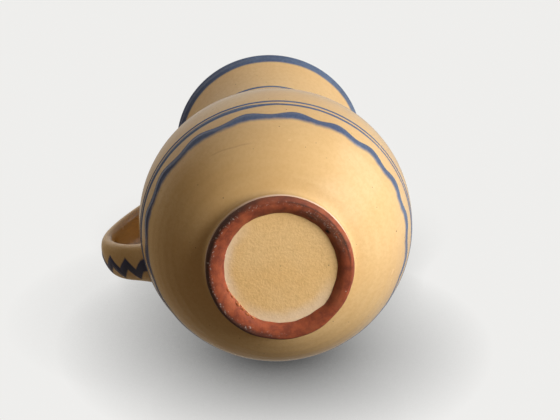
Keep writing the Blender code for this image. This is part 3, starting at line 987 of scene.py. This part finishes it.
def photo_camera():
    """The camera of the photograph, which looks at the foot of the jug as it lies."""
    axis = Vector((math.sin(DRIFT) * math.cos(TILT), -math.sin(TILT) * math.cos(DRIFT),
                   math.cos(TILT) * math.cos(DRIFT))).normalized()
    right = Vector((0.0, 1.0, 0.0)).cross(axis).normalized()
    down = axis.cross(right)
    x_axis = math.cos(ROLL) * right - math.sin(ROLL) * down
    y_axis = math.sin(ROLL) * right + math.cos(ROLL) * down
    seen = Matrix((x_axis, y_axis, axis))
    aside = (BELLY_PX[0] - IMAGE_WIDTH / 2) / FOCAL_PX
    below = (BELLY_PX[1] - IMAGE_HEIGHT / 2) / FOCAL_PX
    belly = Vector((AXIS_X, 0.0, BELLY_LEVEL))
    place = belly - CAMERA_DISTANCE * (seen @ Vector((aside, below, 1.0)))
    turn = seen @ Matrix.Diagonal((1.0, -1.0, -1.0))
    data = bpy.data.cameras.new("photo_camera")
    data.sensor_width = 36.0
    data.lens = data.sensor_width * FOCAL_PX / IMAGE_WIDTH
    data.clip_start = 0.01
    obj = bpy.data.objects.new("photo_camera", data)
    obj.matrix_world = Matrix.Translation(place) @ turn.to_4x4()
    bpy.context.scene.collection.objects.link(obj)
    bpy.context.scene.camera = obj
    return turn


def stage_patch(name, centre, normal, radius, shadow, viewer=None):
    """A round pale floor that glows, darkened near the jug by ambient occlusion as a painted shadow;
    it fades out all round, seen from its front only, or by one viewer.
    """
    t = Tree(name)
    pale = t.node("ShaderNodeEmission")
    # Painted shadow: ambient occlusion darkens the glowing floor within the shadow distance.
    contact_shade = t.node("ShaderNodeAmbientOcclusion")
    contact_shade.inputs["Distance"].default_value = shadow
    contact_shade.inputs["Color"].default_value = PALE
    t.put(pale.inputs["Color"], contact_shade.outputs["Color"])
    clear = t.node("ShaderNodeBsdfTransparent")
    blend = t.node("ShaderNodeMixShader")
    length = t.node("ShaderNodeVectorMath", operation="LENGTH")
    t.put(length.inputs[0], t.place())
    fade = t.smooth(length.outputs["Value"], radius, 0.35 * radius)
    facing = t.node("ShaderNodeNewGeometry")
    front = t.sub(1.0, facing.outputs["Backfacing"])
    if viewer:
        side = t.node("ShaderNodeVectorMath", operation="DOT_PRODUCT")
        t.put(side.inputs[0], facing.outputs["Incoming"])
        side.inputs[1].default_value = viewer
        front = t.mul(front, t.smooth(side.outputs["Value"], VIEWER_EDGE, VIEWER_CORE))
    t.put(blend.inputs[0], t.mul(fade, front))
    t.put(blend.inputs[1], clear.outputs[0])
    t.put(blend.inputs[2], pale.outputs[0])
    t.put(t.tree.nodes["Material Output"].inputs["Surface"], blend.outputs[0])
    angles = [math.tau * i / PATCH_SIDES for i in range(PATCH_SIDES)]
    ring = [(radius * math.cos(a), radius * math.sin(a), 0.0) for a in angles]
    mesh = bpy.data.meshes.new(name)
    mesh.from_pydata(ring, [], [tuple(range(PATCH_SIDES))])
    mesh.materials.append(t.mat)
    obj = bpy.data.objects.new(name, mesh)
    obj.rotation_mode = "QUATERNION"
    obj.rotation_quaternion = Vector((0.0, 0.0, 1.0)).rotation_difference(normal)
    obj.location = centre
    obj.visible_shadow = False
    obj.visible_diffuse = False
    obj.visible_glossy = False
    bpy.context.scene.collection.objects.link(obj)


def area_light(name, direction, distance, size, watts, glossy=True):
    """A soft square light that looks at the belly."""
    data = bpy.data.lights.new(name, "AREA")
    data.size = size
    data.energy = watts
    obj = bpy.data.objects.new(name, data)
    target = Vector((AXIS_X, 0.0, 0.5 * RIM_LEVEL))
    obj.location = target + direction.normalized() * distance
    obj.rotation_mode = "QUATERNION"
    obj.rotation_quaternion = direction.to_track_quat("Z", "Y")
    obj.visible_glossy = glossy
    obj.visible_camera = False
    bpy.context.scene.collection.objects.link(obj)


def pale_world(bright):
    """Pale surroundings that give soft light, and a pale sheen on the side they are bright."""
    world = bpy.data.worlds.new("studio")
    bpy.context.scene.world = world
    world.use_nodes = True
    nodes, links = world.node_tree.nodes, world.node_tree.links
    back = nodes["Background"]
    path = nodes.new("ShaderNodeLightPath")
    mix = nodes.new("ShaderNodeMix")
    mix.data_type = "RGBA"
    mix.inputs[7].default_value = PALE
    links.new(path.outputs["Is Camera Ray"], mix.inputs[0])
    links.new(mix.outputs[2], back.inputs["Color"])
    side = nodes.new("ShaderNodeVectorMath")
    side.operation = "DOT_PRODUCT"
    side.inputs[1].default_value = bright.normalized()
    links.new(nodes.new("ShaderNodeTexCoord").outputs["Generated"], side.inputs[0])
    ramp = nodes.new("ShaderNodeMapRange")
    ramp.interpolation_type = "SMOOTHSTEP"
    ramp.inputs["From Min"].default_value = -0.25
    ramp.inputs["From Max"].default_value = 0.65
    links.new(side.outputs["Value"], ramp.inputs["Value"])
    gloss = nodes.new("ShaderNodeMath")
    gloss.operation = "MULTIPLY"
    links.new(path.outputs["Is Glossy Ray"], gloss.inputs[0])
    links.new(ramp.outputs["Result"], gloss.inputs[1])
    sheen = nodes.new("ShaderNodeMix")
    sheen.data_type = "RGBA"
    sheen.inputs[6].default_value = SOFT
    sheen.inputs[7].default_value = SHEEN
    links.new(gloss.outputs[0], sheen.inputs[0])
    links.new(sheen.outputs[2], mix.inputs[6])


def stage():
    turn = photo_camera()
    right, up, near = turn.col[0], turn.col[1], turn.col[2]
    belly = Vector((AXIS_X, 0.0, BELLY_LEVEL))
    away = Vector((math.sin(ROLL), -math.cos(ROLL), 0.0))
    lean = math.atan2(BELLY_RADIUS - RIM_RADIUS, RIM_LEVEL - BELLY_LEVEL)
    table = away * math.cos(lean) - Vector((0.0, 0.0, 1.0)) * math.sin(lean)
    stage_patch("lying_floor", belly - table * BELLY_RADIUS, table, 0.42, 0.06, near)
    stage_patch("standing_floor", Vector((0.0, 0.0, -0.0002)), Vector((0.0, 0.0, 1.0)), 0.60, 0.14)
    area_light("key", 0.75 * right + 0.20 * up + 0.62 * near, 0.95, 0.60, 12.0, glossy=False)
    area_light("top", Vector((-0.10, -0.40, 0.91)), 1.1, 0.7, 4.0, glossy=False)
    area_light("back", Vector((-0.45, 0.55, 0.70)), 1.1, 0.7, 6.0, glossy=False)
    area_light("rear", Vector((-0.65, -0.45, 0.62)), 1.1, 0.7, 3.5, glossy=False)
    area_light("window", 0.95 * right + 0.60 * up + 0.05 * near, 1.0, 0.60, 1.0)
    pale_world(0.55 * right + 0.75 * up - 0.30 * near)
    view = bpy.context.scene.view_settings
    view.view_transform = "Standard"


honey = glaze("honey_glaze", body_paint)
body(honey)
foot_piece(bare_clay())
floor_piece(floor_glaze())
bead_piece(bead_glaze())
strap_glaze = glaze("strap_glaze", strap_paint)
strap_piece(strap_glaze)
zigzag_piece(strap_glaze)
stage()
